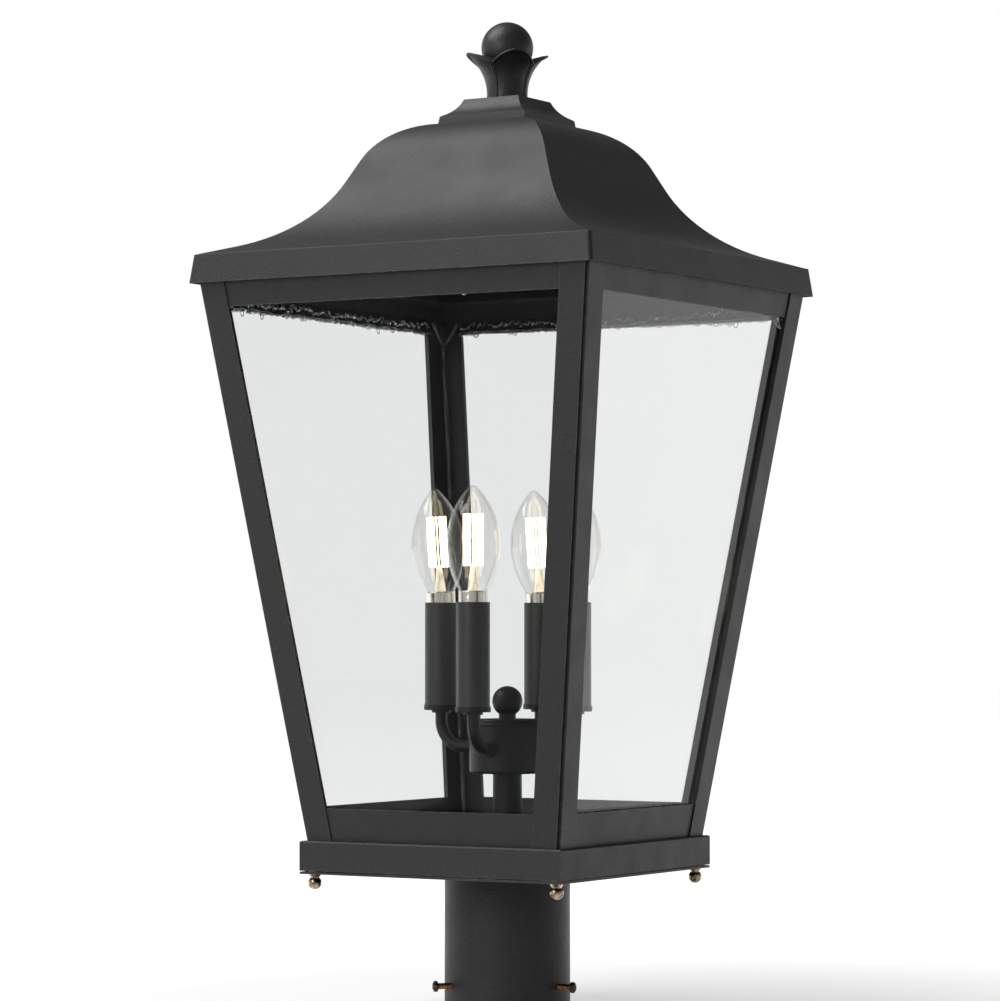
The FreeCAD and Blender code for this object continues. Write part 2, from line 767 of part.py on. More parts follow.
def make_bulbs():
    """Candle bulbs: blown glass, plated base with cap and contact, and a lit cluster inside."""
    for index in QUARTERS:
        side = SIDE_NAMES[index]
        below = sleeve_top - skirt_foot
        cap, low, skirt = cell("cap_radius"), cell("skirt_low"), cell("skirt_radius")
        contact = cell("contact_radius")
        tip = -(cell("cap_height") + cell("contact_height"))
        base = revolved("bulb_base_" + side, [
            line_to(ZERO, tip), line_to(contact, tip), line_to(cap - cell("sheet"), -cell("cap_height")),
            line_to(cap, cell("sheet") - cell("cap_height")), line_to(cap, ZERO),
            line_to(low, ZERO), line_to(skirt, cell("skirt_flare")),
            line_to(skirt, cell("skirt_height")), line_to(ZERO, cell("skirt_height"))])
        place_tilted(base, index, below)
        keep("bulb_base_" + side, base)

        mouth, widest, belly = cell("glass_mouth"), cell("glass_widest"), cell("glass_belly")
        top, wall = cell("glass_height"), cell("glass_wall")
        rise, shoulder = cell("glass_shoulder_rise"), cell("glass_shoulder_radius")
        low_bend, high_bend = cell("glass_low_bend"), cell("glass_high_bend")
        tip_inside = shoulder - wall / 2
        glass = revolved("bulb_glass_" + side, [
            line_to(mouth, ZERO), (widest, belly, low_bend), (shoulder, rise, high_bend),
            (ZERO, top, dome_bend(shoulder, top - rise)), line_to(ZERO, top - wall),
            (tip_inside, rise - wall, -dome_bend(tip_inside, top - rise)),
            (widest - wall, belly, -(high_bend - wall)), (mouth - wall, ZERO, -(low_bend - wall))])
        place_tilted(glass, index, below - cell("skirt_height"))
        keep("bulb_glass_" + side, glass)

        stem = primitive("Part::Cone", "lamp_mount_%d" % index, Radius1=cell("mount_radius"),
                         Radius2=cell("mount_tip"), Height=cell("mount_height"))
        strip_foot = cell("mount_height") - cell("strip_radius")
        wire = primitive("Part::Cylinder", "lamp_wire_%d" % index, Radius=cell("wire_radius"),
                         Height=strip_foot + cell("strip_length"))
        parts = [stem, wire]
        for number, angle in enumerate(STRIP_HEADINGS):
            heading = as_size(angle)
            strip = primitive("Part::Cylinder", "lamp_strip_%d_%d" % (index, number),
                              Radius=cell("strip_radius"), Height=cell("strip_length"))
            place(strip, cell("strip_circle") * cosine(heading),
                  cell("strip_circle") * sine(heading), strip_foot)
            parts.append(strip)
            for end in (0, 1):
                spoke = primitive("Part::Cylinder", "lamp_spoke_%d_%d_%d" % (index, number, end),
                                  Radius=cell("wire_radius"), Height=cell("strip_circle"))
                level = strip_foot + cell("wire_radius") * 2
                if end:
                    level = strip_foot + cell("strip_length") - cell("wire_radius") * 2
                lay_down = FreeCAD.Rotation(FreeCAD.Vector(0, 1, 0), 90)
                place(spoke, z=level, rotation=turned_by(angle).multiply(lay_down))
                parts.append(spoke)
        fused = doc.addObject("Part::MultiFuse", "bulb_filament_" + side)
        fused.Shapes = parts
        place_tilted(fused, index, below - cell("skirt_height"))
        keep("bulb_filament_" + side, fused)


# ---------------------------------------------------------------- tray, studs and ball nuts

def make_tray():
    """Inverted square pan with a square opening for the lamps."""
    body = new_body("tray")
    outer = new_sketch(body, "tray_outline", "XY_Plane")
    draw(outer, square(cell("tray_half")))
    block = padded(body, outer, "tray_block", cell("tray_height"))
    doc.recompute()
    top_edges = []
    for index, edge in enumerate(block.Shape.Edges, start=1):
        if all(abs(v.Z - cell("tray_height").value) < 0.001 for v in edge.Vertexes):
            top_edges.append("Edge%d" % index)
    bevel = body.newObject("PartDesign::Chamfer", "tray_bevel")
    bevel.Base = (block, top_edges)
    bevel.setExpression("Size", cell("tray_edge").formula)
    doc.recompute()
    inner = new_sketch(body, "tray_inside", "XY_Plane")
    draw(inner, square(cell("tray_half") - cell("tray_sheet")))
    full = body.Shape.Volume
    hollow = body.newObject("PartDesign::Pocket", "tray_hollow")
    hollow.Profile = inner
    hollow.setExpression("Length", (cell("tray_height") - cell("tray_sheet")).formula)
    hollow.Reversed = True
    doc.recompute()
    if body.Shape.Volume > full / 2:
        raise RuntimeError("the tray is not hollow")
    opening = new_sketch(body, "tray_opening", "XY_Plane")
    draw(opening, square(cell("tray_half") - cell("tray_ledge")))
    pocket_through(body, opening, "tray_opening_cut")
    place(body, z=tray_foot)
    keep("tray", body)


def corner_place(piece, index, level):
    """Set a piece under one corner of the tray."""
    x_sign = 1 if index in (1, 2) else -1
    y_sign = 1 if index in (2, 3) else -1
    place(piece, stud_place * x_sign, stud_place * y_sign, level)


def make_studs_and_nuts():
    """Collared studs welded under the tray, and a ball nut on each below the plate."""
    radius, collar, end = cell("stud_radius"), cell("stud_collar"), cell("stud_end")
    rise = tray_top - cell("tray_sheet") - plate_top
    neck, flange = cell("ball_neck"), cell("ball_collar")
    drop, ball = cell("ball_drop"), cell("ball_radius")
    flange_foot = -cell("ball_collar_height")
    throat = root_of_difference(ball, neck)
    bore = radius + cell("running_gap")
    studs = []
    for index in QUARTERS:
        stud = revolved("tray_stud_%d" % index, [
            line_to(ZERO, -end), line_to(radius - cell("fitter_chamfer"), -end),
            line_to(radius, cell("fitter_chamfer") - end), line_to(radius, ZERO),
            line_to(collar, ZERO), line_to(collar, rise), line_to(ZERO, rise)])
        corner_place(stud, index, plate_top)
        studs.append(stud)
        name = "ball_nut_" + CORNER_NAMES[index]
        nut = revolved(name, [
            line_to(ZERO, -(drop + ball)), (ball, -drop, ball), (neck, throat - drop, ball),
            line_to(neck, flange_foot), line_to(flange, flange_foot), line_to(flange, ZERO),
            line_to(bore, ZERO), line_to(bore, -cell("ball_bore_end")),
            line_to(ZERO, -cell("ball_bore_end"))])
        corner_place(nut, index, fitter_top - cell("seat_gap"))
        keep(name, nut)
    keep_group("tray_studs", studs)


# ---------------------------------------------------------------- leaning cage

def post_section(half):
    """L-shaped section of a corner post, its outer corner relieved by a square groove."""
    leg, wall, groove = cell("post_leg"), cell("post_wall"), cell("post_groove")
    face = -half
    return [line_to(face + groove, face), line_to(face + leg, face),
            line_to(face + leg, face + wall), line_to(face + wall, face + wall),
            line_to(face + wall, face + leg), line_to(face, face + leg),
            line_to(face, face + groove), line_to(face + groove, face + groove)]


def leaning_strip(body, name, foot, height, set_back, thick, side_gap):
    """Flat strip in the front face: ruled between a lower and an upper cross-section."""
    sections = []
    for level in (foot, foot + height):
        half = frame_half(level)
        width = half - side_gap
        face = -half + set_back
        sections.append(rectangle(-width, width, face, face + thick))
    lofted(body, name, sections[0], sections[1], height)


def make_cage():
    """Corner posts, the rails between them and the panes behind both."""
    top_rails = []
    bottom_rails = []
    height, leg = cell("frame_height"), cell("post_leg")
    behind = cell("rail_set_back") + cell("rail_wall") + cell("sliver")
    top_rail_foot = height - cell("top_rail")
    pane_height = top_rail_foot + cell("pane_top_lap")
    for index in QUARTERS:
        name = "corner_post_" + CORNER_NAMES[index]
        post = new_body(name)
        lofted(post, name + "_loft", post_section(frame_half(ZERO)),
               post_section(frame_half(height)), height)
        place(post, z=tray_top, rotation=turned_by(90 * index))
        keep(name, post)

        low = new_body("bottom_rail_%d" % index)
        leaning_strip(low, "bottom_rail_%d_loft" % index, ZERO, cell("bottom_rail"),
                      cell("rail_set_back"), cell("rail_wall"), leg)
        place(low, z=tray_top, rotation=turned_by(90 * index))
        bottom_rails.append(low)

        high = new_body("top_rail_%d" % index)
        leaning_strip(high, "top_rail_%d_loft" % index, top_rail_foot, cell("top_rail"),
                      cell("rail_set_back"), cell("rail_wall"), leg)
        place(high, z=tray_top + top_rail_foot, rotation=turned_by(90 * index))
        top_rails.append(high)

        name = "glass_pane_" + SIDE_NAMES[index]
        pane = new_body(name)
        leaning_strip(pane, name + "_loft", ZERO, pane_height, behind, cell("pane_wall"),
                      leg - cell("pane_lap"))
        place(pane, z=tray_top, rotation=turned_by(90 * index))
        keep(name, pane)
    keep_group("top_rails", top_rails)
    keep_group("bottom_rails", bottom_rails)


# ---------------------------------------------------------------- roof

def eave_half_at(level):
    """Half the width of the flaring eave band at a height above its foot."""
    return eave_half_low - cell("eave_flare") * level / cell("eave_height")


def make_eave():
    """Flaring band round the eave and the ring that ties it to the posts."""
    thick = cell("sheet")
    band = new_body("eave_band")
    lofted(band, "band_outside", square(eave_half_low), square(eave_half_high),
           cell("eave_height"))
    lofted(band, "band_inside", square(eave_half_low - thick), square(eave_half_high - thick),
           cell("eave_height"), subtract=True)

    def on_outside_top(vertex):
        return (abs(vertex.Z - cell("eave_height").value) < 0.001
                and max(abs(vertex.X), abs(vertex.Y)) > (eave_half_high - thick / 2).value)

    rounded(band, "eave_corners", cell("eave_corner"),
            lambda ends: on_outside_top(ends[0]) != on_outside_top(ends[1]))
    rounded(band, "eave_edges", cell("eave_edge"),
            lambda ends: on_outside_top(ends[0]) and on_outside_top(ends[1]))
    place(band, z=eave_foot)
    keep("eave_band", band)

    ring = new_body("soffit_ring")
    sketch = new_sketch(ring, "ring_outline", "XY_Plane")
    draw(sketch, square(eave_half_at(cell("eave_drop") + cell("ring_wall")) - thick))
    draw(sketch, square(frame_half_top - cell("ring_ledge")))
    padded(ring, sketch, "ring", cell("ring_wall"))
    place(ring, z=frame_top)
    keep("soffit_ring", ring)


def roof_side(inset, foot):
    """Right-hand side of the bell section: eave skirt, sweep, steep run and crown."""
    skirt, steep, crown = cell("skirt_angle"), cell("steep_angle"), cell("crown_angle")
    sweep, bend = cell("sweep_bend"), cell("crown_bend")
    edge = eave_half_high - cell("sheet")
    skirt_rise = (edge - cell("skirt_end")) * tangent(skirt)
    sweep_x = cell("skirt_end") + sweep * sine(skirt)
    sweep_z = skirt_rise + sweep * cosine(skirt)
    steep_x = sweep_x - sweep * sine(steep) - cell("steep_run") * cosine(steep)
    steep_z = sweep_z - sweep * cosine(steep) + cell("steep_run") * sine(steep)
    crown_x = steep_x - bend * sine(steep)
    crown_z = steep_z - bend * cosine(steep)
    outside = sweep + inset
    inside = bend - inset
    edge_drop = inset / cosine(skirt) - inset * tangent(skirt)
    return [
        line_to(edge - inset, foot),
        line_to(edge - inset, -edge_drop),
        line_to(sweep_x - outside * sine(skirt), sweep_z - outside * cosine(skirt)),
        (sweep_x - outside * sine(steep), sweep_z - outside * cosine(steep), -outside),
        line_to(crown_x + inside * sine(steep), crown_z + inside * cosine(steep)),
        (crown_x + inside * sine(crown), crown_z + inside * cosine(crown), inside)]


def run_both_ways(label, outline, width):
    """Two bodies: the outline run across in one direction, and again in the other."""
    runs = []
    for role in ("XZ_Plane", "YZ_Plane"):
        body = new_body(label + "_" + role[:2].lower())
        sketch = new_sketch(body, body.Label + "_section", role)
        draw(sketch, outline)
        padded(body, sketch, body.Label + "_pad", width, both_ways=True)
        runs.append(body)
    return runs


def mitred(label, side, width):
    """Solid with four equal sides meeting in mitres: what the two runs of a section share."""
    common = doc.addObject("Part::MultiCommon", label)
    common.Shapes = run_both_ways(label, mirrored(side), width)
    return common


def roof_top_level():
    """Height of the roof's flat top above the eave."""
    return roof_side(ZERO, -cell("roof_lip"))[-1][1]


def make_roof():
    """Bell-shaped hip roof of thin sheet, hollow below, with a bolt hole in its flat top."""
    width = eave_half_low * 2
    lip = cell("roof_lip")
    outer = mitred("roof_outside", roof_side(ZERO, -lip), width)
    inner = mitred("roof_inside", roof_side(cell("sheet"), -lip - cell("sheet")), width)
    hollow = cut("roof_hollow", outer, inner)
    bolt = primitive("Part::Cylinder", "roof_bolt_hole",
                     Radius=cell("bolt_radius") + cell("sliver"), Height=width)
    roof = cut("roof_shell", hollow, bolt)
    place(roof, z=eave_top)
    keep("roof_shell", roof)

    low, mid = cell("cap_half"), cell("cap_half_mid")
    edge, rise = cell("cap_edge"), cell("cap_rise")
    block = mitred("cap_block", [
        line_to(low, ZERO), line_to(mid, edge), line_to(cell("cap_cove_low"), edge + cell("cap_ledge")),
        (cell("cap_cove_high"), rise, -cell("cap_cove_bend"))], width)
    hole = primitive("Part::Cylinder", "cap_bolt_hole",
                     Radius=cell("bolt_radius") + cell("sliver"), Height=width)
    cap = cut("roof_cap", block, hole)
    place(cap, z=eave_top + roof_top_level())
    keep("roof_cap", cap)


def make_calyx(foot):
    """Flaring cup for the ball, split by four seams into petals with arched tips.

    The tips are what the cup shares with a cross vault, whose two barrels run under the petals.
    """
    neck, straight, bend = cell("calyx_neck"), cell("calyx_straight"), cell("calyx_bend")
    rise, floor = cell("calyx_rise"), cell("calyx_floor")
    tip = neck + bend - root_of_difference(bend, rise - straight)
    bowl = cell("ball_top_radius") + cell("bowl_gap")
    centre = floor + cell("ball_centre")
    mouth, heel = cell("bowl_mouth"), cell("bowl_foot")
    hole = cell("bolt_radius") + cell("sliver")
    cup = revolved("calyx_cup", [
        line_to(hole, ZERO), line_to(neck, ZERO), line_to(neck, straight), (tip, rise, -bend),
        line_to(tip - cell("petal_lip"), rise),
        line_to(mouth, centre - root_of_difference(bowl, mouth)),
        (heel, centre - root_of_difference(bowl, heel), -bowl),
        line_to(heel, floor), line_to(hole, floor)])
    far, slit = tip + cell("petal_lip"), cell("seam_half")
    seam = new_sketch(cup, "seam_section", "XY_Plane")
    draw(seam, [line_to(neck - cell("seam_depth"), ZERO), line_to(far, -slit), line_to(far, slit)])
    polar(cup, pocket_through(cup, seam, "seam"), "seams", 4)

    half, drop = cell("petal_half"), cell("petal_drop")
    vault = doc.addObject("Part::MultiFuse", "petal_vault")
    vault.Shapes = run_both_ways("petal_vault", [
        line_to(-half, -straight), line_to(half, -straight), line_to(half, rise - drop),
        (-half, rise - drop, dome_bend(half, drop))], far * 2)
    place(vault, rotation=turned_by(cell("petal_heading").value))
    vault.setExpression("Placement.Rotation.Angle", cell("petal_heading").formula)
    calyx = doc.addObject("Part::MultiCommon", "finial_calyx")
    calyx.Shapes = [cup, vault]
    place(calyx, z=foot)
    keep("finial_calyx", calyx)


def make_finial():
    """Calyx with the ball in it, held by a bolt and a nut under the roof."""
    foot = eave_top + roof_top_level() + cell("cap_rise")
    floor = cell("calyx_floor")
    hole = cell("bolt_radius") + cell("sliver")
    make_calyx(foot)

    ball, centre, seat = cell("ball_top_radius"), cell("ball_centre"), cell("ball_foot")
    blind = cell("bolt_into_ball") + cell("sliver")
    globe = revolved("finial_ball", [
        line_to(hole, ZERO), line_to(seat, ZERO),
        line_to(seat, centre - root_of_difference(ball, seat)),
        (ball, centre, ball), (ZERO, centre + ball, ball), line_to(ZERO, blind),
        line_to(hole, blind)])
    place(globe, z=foot + floor)
    keep("finial_ball", globe)

    roof_inside = eave_top + roof_side(cell("sheet"), ZERO)[-1][1]
    bolt_foot = roof_inside - cell("bolt_below")
    bolt = primitive("Part::Cylinder", "finial_bolt", Radius=cell("bolt_radius"),
                     Height=foot + floor + cell("bolt_into_ball") - bolt_foot)
    place(bolt, z=bolt_foot)
    keep("finial_bolt", bolt)
    nut = hex_nut("finial_nut", cell("bolt_nut_corner"), hole, cell("bolt_nut_height"))
    place(nut, z=roof_inside - cell("bolt_nut_height"))
    keep("finial_nut", nut)


make_post_fitter()
make_set_screws()
make_base_plate()
make_rod()
make_hub()
make_arms()
make_candles()
make_bulbs()
make_tray()
make_studs_and_nuts()
make_cage()
make_eave()
make_roof()
make_finial()
doc.recompute()

# ---------------------------------------------------------------- checks and files

for item in doc.Objects:
    if "Invalid" in item.State or "Error" in item.State:
        raise RuntimeError("%s failed: %s" % (item.Name, item.State))
for node in nodes:
    if node.Shape.isNull() or not node.Shape.isValid() or not node.Shape.Solids:
        raise RuntimeError(node.Label + " has no sound solid")

os.makedirs("parts", exist_ok=True)
for node in nodes:
    node.Shape.exportStep(os.path.join("parts", node.Label + ".step"))
    box = node.Shape.BoundBox
    print("%-26s solids %d  volume %9.1f  z %7.2f to %7.2f  x %7.2f to %7.2f" % (
        node.Label, len(node.Shape.Solids), node.Shape.Volume, box.ZMin, box.ZMax,
        box.XMin, box.XMax))
print(len(nodes), "nodes")
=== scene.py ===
import json
import math
import random

import bmesh
import bpy
from mathutils import Matrix, Vector


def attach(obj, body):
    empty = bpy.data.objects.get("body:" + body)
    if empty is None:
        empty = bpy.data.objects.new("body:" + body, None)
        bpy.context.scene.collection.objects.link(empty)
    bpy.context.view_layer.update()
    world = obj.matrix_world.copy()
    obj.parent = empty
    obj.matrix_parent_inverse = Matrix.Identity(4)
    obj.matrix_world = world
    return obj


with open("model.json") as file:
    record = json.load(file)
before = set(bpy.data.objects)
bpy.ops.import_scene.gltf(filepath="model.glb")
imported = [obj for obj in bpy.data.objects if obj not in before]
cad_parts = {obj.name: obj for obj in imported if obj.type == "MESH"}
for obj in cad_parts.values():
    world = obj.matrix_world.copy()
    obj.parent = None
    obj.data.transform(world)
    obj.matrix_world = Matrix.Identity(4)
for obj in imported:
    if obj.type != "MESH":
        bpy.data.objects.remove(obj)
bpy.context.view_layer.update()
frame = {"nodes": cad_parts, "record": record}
nodes = frame["nodes"]

SIDES = ("front", "right", "back", "left")
CORNERS = ("front_left", "front_right", "back_right", "back_left")
QUARTER = math.pi / 2

# Camera solved from the photograph: lengths in metres, lens in millimetres on a 36 mm sensor
CAMERA_TURN = math.radians(31.31)
CAMERA_PITCH = math.radians(1.903)
CAMERA_DISTANCE = 2.4791
CAMERA_HEIGHT = 0.2512
CAMERA_ASIDE = -0.00486
CAMERA_LENS = 135.18
SENSOR_WIDTH = 36.0


# ---------------------------------------------------------------- places read from the frame

def metres(length):
    """A length to a hundredth of a millimetre, so that sums of lengths stay clean."""
    return round(length, 5)


def points_of(name):
    """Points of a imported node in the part's frame."""
    return [nodes[name].matrix_world @ vertex.co for vertex in nodes[name].data.vertices]


def foot_of(name):
    return metres(min(point.z for point in points_of(name)))


def top_of(name):
    return metres(max(point.z for point in points_of(name)))


def post_half(level):
    """Half the width over the corner posts, at a level where they have points."""
    return max(-point.x for point in points_of("corner_post_front_left")
               if abs(point.z - level) < 1e-5)


POST_FOOT = foot_of("corner_post_front_left")
POST_TOP = top_of("corner_post_front_left")
FOOT_HALF = metres(post_half(POST_FOOT))
LEAN = round((post_half(POST_TOP) - FOOT_HALF) / (POST_TOP - POST_FOOT), 4)
RAIL_FOOT = foot_of("top_rails")
GLASS_TOP = top_of("glass_pane_front")
CALYX_FOOT = foot_of("finial_calyx")

SLEEVE_TOP = top_of("candle_sleeve_front")
sleeve_across = [point.x for point in points_of("candle_sleeve_front")]
sleeve_along = [point.y for point in points_of("candle_sleeve_front")]
sleeve_x = (min(sleeve_across) + max(sleeve_across)) / 2
sleeve_y = (min(sleeve_along) + max(sleeve_along)) / 2
SLEEVE_RADIUS = metres((max(sleeve_across) - min(sleeve_across)) / 2)
LAMP_CIRCLE = metres(math.hypot(sleeve_x, sleeve_y))
LAMP_TURN = math.radians(round(math.degrees(math.atan2(sleeve_x, -sleeve_y)), 1))


# ---------------------------------------------------------------- materials

class Nodes:
    """A node tree under construction: add() makes a node, link() joins two sockets."""

    def __init__(self, tree, coords):
        self.tree = tree
        self.tree.nodes.clear()
        self.coords = self.add("ShaderNodeTexCoord").outputs[coords]

    def add(self, kind, **settings):
        node = self.tree.nodes.new(kind)
        for name, value in settings.items():
            setattr(node, name, value)
        return node

    def link(self, source, target):
        self.tree.links.new(source, target)

    def set(self, node, **values):
        for name, value in values.items():
            node.inputs[name.replace("_", " ")].default_value = value
        return node

    def ramp(self, source, low, high, start=0.0, end=1.0):
        """Map source from low..high to start..end, clamped."""
        node = self.add("ShaderNodeMapRange")
        node.inputs["From Min"].default_value = low
        node.inputs["From Max"].default_value = high
        node.inputs["To Min"].default_value = start
        node.inputs["To Max"].default_value = end
        self.link(source, node.inputs["Value"])
        return node.outputs["Result"]

    def math(self, operation, first, second):
        node = self.add("ShaderNodeMath", operation=operation)
        for socket, value in zip(node.inputs, (first, second)):
            if isinstance(value, (int, float)):
                socket.default_value = value
            else:
                self.link(value, socket)
        return node.outputs["Value"]

    def mix(self, factor, first, second):
        node = self.add("ShaderNodeMix", data_type="RGBA")
        for socket, value in ((node.inputs[0], factor), (node.inputs[6], first),
                              (node.inputs[7], second)):
            if isinstance(value, tuple):
                socket.default_value = (*value, 1.0)
            elif isinstance(value, (int, float)):
                socket.default_value = value
            else:
                self.link(value, socket)
        return node.outputs[2]

    def height(self, low, high, below=0.0, above=1.0):
        """Level that runs from one value to another with the piece's own upright direction."""
        parts = self.add("ShaderNodeSeparateXYZ")
        self.link(self.coords, parts.inputs["Vector"])
        return self.ramp(parts.outputs["Z"], low, high, below, above)

    def behind(self, near, far, low, high):
        """Level that grows from the camera's side of the studio to the backdrop's."""
        along = self.add("ShaderNodeVectorMath", operation="DOT_PRODUCT")
        self.link(self.coords, along.inputs[0])
        along.inputs[1].default_value = (-math.sin(CAMERA_TURN), math.cos(CAMERA_TURN), 0)
        return self.ramp(along.outputs["Value"], near, far, low, high)

    def seen(self):
        """What camera and glass see directly, and what is seen mirrored."""
        path = self.add("ShaderNodeLightPath")
        direct = self.math("MAXIMUM", path.outputs["Is Camera Ray"],
                           path.outputs["Is Transmission Ray"])
        return direct, path.outputs["Is Glossy Ray"]


class Look(Nodes):
    """The node material of one finish."""

    def __init__(self, name):
        self.material = bpy.data.materials.new(name)
        self.material.use_nodes = True
        super().__init__(self.material.node_tree, "Object")
        self.output = self.add("ShaderNodeOutputMaterial")

    def noise(self, scale, detail=3.0, roughness=0.55, stretch=None):
        node = self.add("ShaderNodeTexNoise")
        self.set(node, Scale=scale, Detail=detail, Roughness=roughness)
        source = self.coords
        if stretch:
            mapping = self.add("ShaderNodeMapping")
            mapping.inputs["Scale"].default_value = stretch
            self.link(source, mapping.inputs["Vector"])
            source = mapping.outputs["Vector"]
        self.link(source, node.inputs["Vector"])
        return node.outputs["Fac"]

    def underside(self, low, high):
        """low on faces that look down, high on all others."""
        parts = self.add("ShaderNodeSeparateXYZ")
        self.link(self.add("ShaderNodeNewGeometry").outputs["Normal"], parts.inputs["Vector"])
        return self.ramp(parts.outputs["Z"], -0.6, -0.3, low, high)

    def bump(self, layers):
        """Stack of (height socket, strength, distance)."""
        normal = None
        for height, strength, distance in layers:
            node = self.add("ShaderNodeBump")
            self.set(node, Strength=strength, Distance=distance)
            self.link(height, node.inputs["Height"])
            if normal:
                self.link(normal, node.inputs["Normal"])
            normal = node.outputs["Normal"]
        return normal

    def edges(self, radius, low=0.02, high=0.25):
        """1 on sharp outer and inner edges within radius, broken up by noise."""
        bevel = self.add("ShaderNodeBevel", samples=4)
        bevel.inputs["Radius"].default_value = radius
        geometry = self.add("ShaderNodeNewGeometry")
        dot = self.add("ShaderNodeVectorMath", operation="DOT_PRODUCT")
        self.link(bevel.outputs["Normal"], dot.inputs[0])
        self.link(geometry.outputs["Normal"], dot.inputs[1])
        turned = self.math("SUBTRACT", 1.0, dot.outputs["Value"])
        mask = self.ramp(turned, low, high)
        chips = self.ramp(self.noise(160.0, 4.0), 0.42, 0.62, 0.15, 1.0)
        return self.math("MULTIPLY", mask, chips)

    def principled(self, **values):
        shader = self.set(self.add("ShaderNodeBsdfPrincipled"), **values)
        self.link(shader.outputs["BSDF"], self.output.inputs["Surface"])
        return shader


def coated(name, dark, light, roughness, grain, edge_wear_and_highlight, specular, edge):
    """Black coating on metal: cloudy tone, fine grain, sparse specks, and lighter edges that are
    partly wear and partly a painted highlight.
    """
    look = Look(name)
    shader = look.principled(Metallic=0.0)
    look.link(look.underside(specular * 0.15, specular), shader.inputs["Specular IOR Level"])
    cloud = look.ramp(look.noise(9.0, 4.0), 0.35, 0.65)
    colour = look.mix(cloud, dark, light)
    dust = look.ramp(look.noise(55.0, 6.0, 0.7), 0.60, 0.80, 0.0, 0.35)
    colour = look.mix(dust, colour, tuple(c * 1.9 for c in light))
    fine = look.ramp(look.noise(820.0, 2.0, 0.6), 0.42, 0.66, 0.0, 0.55)
    colour = look.mix(fine, colour, tuple(c * 1.6 for c in light))
    speck = look.add("ShaderNodeTexVoronoi")
    speck.inputs["Scale"].default_value = 260.0
    look.link(look.coords, speck.inputs["Vector"])
    dots = look.ramp(speck.outputs["Distance"], 0.06, 0.0)
    rare = look.ramp(look.noise(40.0, 2.0), 0.66, 0.70)
    colour = look.mix(look.math("MULTIPLY", dots, rare), colour, (0.16, 0.16, 0.16))
    # lighter edges: partly rubbed wear, partly a painted highlight along the edges
    colour = look.mix(look.edges(edge), colour, edge_wear_and_highlight)
    look.link(colour, shader.inputs["Base Color"])
    rough = look.ramp(look.noise(30.0, 5.0, 0.65), 0.3, 0.7, roughness - 0.04, roughness + 0.05)
    look.link(rough, shader.inputs["Roughness"])
    look.link(look.bump([
        (look.noise(1500.0, 2.0), grain, 0.00012),
        (look.noise(760.0, 3.0), grain * 1.1, 0.0006),
        (look.noise(14.0, 2.0), 0.02, 0.002)]), shader.inputs["Normal"])
    return look.material


def metal(name, colour, tarnish, roughness, grain=0.25, tarnished=0.4):
    """Bare or plated metal: tarnish over a share of it, uneven gloss and small pits."""
    look = Look(name)
    shader = look.principled(Metallic=1.0)
    patch = look.ramp(look.noise(210.0, 5.0, 0.65), 0.40, 0.66, 0.0, tarnished)
    body = look.mix(patch, colour, tarnish)
    body = look.mix(look.edges(0.0004, 0.05, 0.4), body, tuple(min(1.0, c * 1.35) for c in colour))
    look.link(body, shader.inputs["Base Color"])
    rough = look.ramp(look.noise(400.0, 3.0), 0.3, 0.7, roughness * 0.7, roughness * 1.5)
    look.link(rough, shader.inputs["Roughness"])
    look.link(look.bump([(look.noise(2600.0, 2.0), grain, 0.00008),
                         (look.noise(500.0, 3.0), grain * 0.6, 0.0002)]), shader.inputs["Normal"])
    return look.material


GLASS_IOR = 1.5


def clear(name, tint, haze=0.02, waves=0.05, wave_scale=12.0, wave_depth=0.001, smears=0.06,
          mirrored=1.0):
    """Thin clear glass: passes light with a tint, mirrors by Fresnel, faint waves and smears."""
    look = Look(name)
    through = look.set(look.add("ShaderNodeBsdfTransparent"), Color=(*tint, 1.0))
    mirror = look.set(look.add("ShaderNodeBsdfGlossy"), Roughness=haze)
    smear = look.ramp(look.noise(26.0, 5.0, 0.7, stretch=(1.0, 1.0, 0.35)), 0.52, 0.8, 0.0, smears)
    look.link(look.math("ADD", smear, haze), mirror.inputs["Roughness"])
    fresnel = look.add("ShaderNodeFresnel")
    side = look.add("ShaderNodeNewGeometry").outputs["Backfacing"]
    look.link(look.ramp(side, 0.0, 1.0, GLASS_IOR, 1.0 / GLASS_IOR), fresnel.inputs["IOR"])
    normal = look.bump([(look.noise(wave_scale, 2.0), waves, wave_depth)])
    look.link(normal, mirror.inputs["Normal"])
    look.link(normal, fresnel.inputs["Normal"])
    blend = look.add("ShaderNodeMixShader")
    look.link(look.math("MULTIPLY", fresnel.outputs["Fac"], mirrored), blend.inputs["Fac"])
    look.link(through.outputs["BSDF"], blend.inputs[1])
    look.link(mirror.outputs["BSDF"], blend.inputs[2])
    look.link(blend.outputs["Shader"], look.output.inputs["Surface"])
    return look.material


def glowing(name, colour, strength, foot):
    """Lit coated strips above foot, on a pale stem whose faint glow is a painted highlight
    standing in for its glass.
    """
    look = Look(name)
    shader = look.principled(Roughness=0.25)
    lit = look.height(foot, foot + 0.001)
    look.link(look.mix(lit, (0.80, 0.78, 0.72), (0.9, 0.75, 0.4)), shader.inputs["Base Color"])
    shader.inputs["Emission Color"].default_value = (*colour, 1.0)
    uneven = look.ramp(look.noise(500.0, 2.0), 0.3, 0.7, strength * 0.85, strength * 1.15)
    # painted highlight: the stem glows faintly with noise, in place of the glints in its glass
    stem_painted_glow = look.ramp(look.noise(420.0, 3.0, stretch=(1.0, 1.0, 0.25)), 0.4, 0.6, 0.30, 0.95)
    look.link(look.math("MAXIMUM", look.math("MULTIPLY", lit, uneven), stem_painted_glow),
              shader.inputs["Emission Strength"])
    look.link(look.bump([(look.noise(1800.0, 2.0), 0.2, 0.0001)]), shader.inputs["Normal"])
    return look.material


